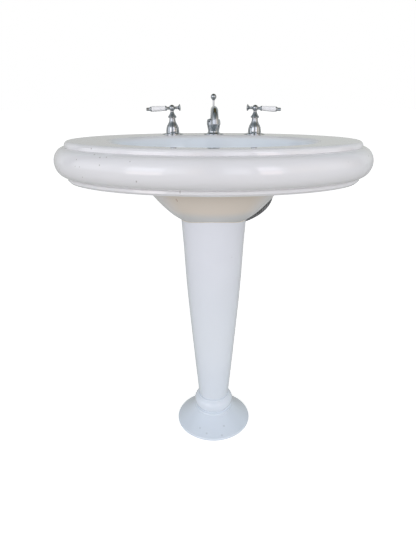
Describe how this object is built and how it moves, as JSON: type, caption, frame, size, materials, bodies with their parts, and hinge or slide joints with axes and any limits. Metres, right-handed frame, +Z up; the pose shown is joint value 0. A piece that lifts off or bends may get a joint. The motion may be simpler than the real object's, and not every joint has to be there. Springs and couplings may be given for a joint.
{
  "type": "pedestal sink",
  "caption": "Oval white china basin with a rolled rim on a round tapered pedestal, with a widespread chrome lever tap set, bent spout and lift-rod pop-up waste.",
  "frame": {"origin": "on the floor, under the centre of the basin's oval", "axes": "+Z up, -Y to the front where the user stands, +X to the user's right (cold tap side)"},
  "size_m": [0.767, 0.477, 0.9142],
  "materials": {
    "china": "gloss",
    "porcelain": "gloss",
    "sealant": "matte",
    "chrome": "polished",
    "brass": "satin",
    "steel": "satin",
    "braid": "woven",
    "rubber": "matte",
    "white_plastic": "satin"
  },
  "bodies": {
    "sink": {"aerator": "chrome", "basin": "china", "bedding_bead": "sealant", "cold_collar": "chrome", "cold_deck_washer": "rubber", "cold_escutcheon": "chrome", "cold_hose": "braid", "cold_hose_nuts": "steel", "cold_hose_sleeves": "steel", "cold_lock_nut": "brass", "cold_valve_body": "brass", "drain_body": "brass", "drain_flange": "chrome", "drain_gasket": "rubber", "drain_lock_nut": "brass", "drain_washer": "white_plastic", "hot_collar": "chrome", "hot_deck_washer": "rubber", "hot_escutcheon": "chrome", "hot_hose": "braid", "hot_hose_nuts": "steel", "hot_hose_sleeves": "steel", "hot_lock_nut": "brass", "hot_valve_body": "brass", "pedestal": "china", "pivot_nut": "brass", "spout": "chrome", "spout_flange": "chrome", "spout_gasket": "rubber", "spout_lock_nut": "brass", "spout_shank": "brass", "spout_washer": "brass", "tailpiece": "chrome", "tee": "brass"},
    "hot_handle": {"hot_handle_finial": "chrome", "hot_handle_hub": "chrome", "hot_lever_core": "brass", "hot_lever_ferrule": "chrome", "hot_lever_grip": "porcelain", "hot_lever_tip": "chrome", "hot_stem": "brass"},
    "cold_handle": {"cold_handle_finial": "chrome", "cold_handle_hub": "chrome", "cold_lever_core": "brass", "cold_lever_ferrule": "chrome", "cold_lever_grip": "porcelain", "cold_lever_tip": "chrome", "cold_stem": "brass"},
    "lift_rod_set": {"lift_rod": "chrome", "lift_knob": "chrome", "clevis_strap": "steel", "clevis_screw": "steel"},
    "pivot_rod_set": {"pivot_rod": "steel", "spring_clip": "steel"},
    "stopper_set": {"stopper": "chrome", "stopper_seal": "rubber"}
  },
  "joints": [
    {"name": "hot_handle_turn", "type": "hinge", "parent": "sink", "child": "hot_handle", "pos_m": [-0.112, 0.16, 0.812], "axis": [0, 0, 1], "range_deg": [0, 90]},
    {"name": "cold_handle_turn", "type": "hinge", "parent": "sink", "child": "cold_handle", "pos_m": [0.112, 0.16, 0.812], "axis": [0, 0, 1], "range_deg": [-90, 0]},
    {"name": "lift_rod_slide", "type": "slide", "parent": "sink", "child": "lift_rod_set", "axis": [0, 0, 1], "range_m": [0, 0.038]},
    {"name": "pivot_rod_tilt", "type": "hinge", "parent": "sink", "child": "pivot_rod_set", "pos_m": [0, 0.004, 0.54], "axis": [1, 0, 0], "range_deg": [0, 12.76]},
    {"name": "stopper_slide", "type": "slide", "parent": "sink", "child": "stopper_set", "axis": [0, 0, 1], "range_m": [-0.00714, 0]}
  ],
  "couplings": [
    {"joint": "pivot_rod_tilt", "follows": "lift_rod_slide", "rad_per_m": 5.8548},
    {"joint": "stopper_slide", "follows": "lift_rod_slide", "ratio": -0.18735}
  ]
}
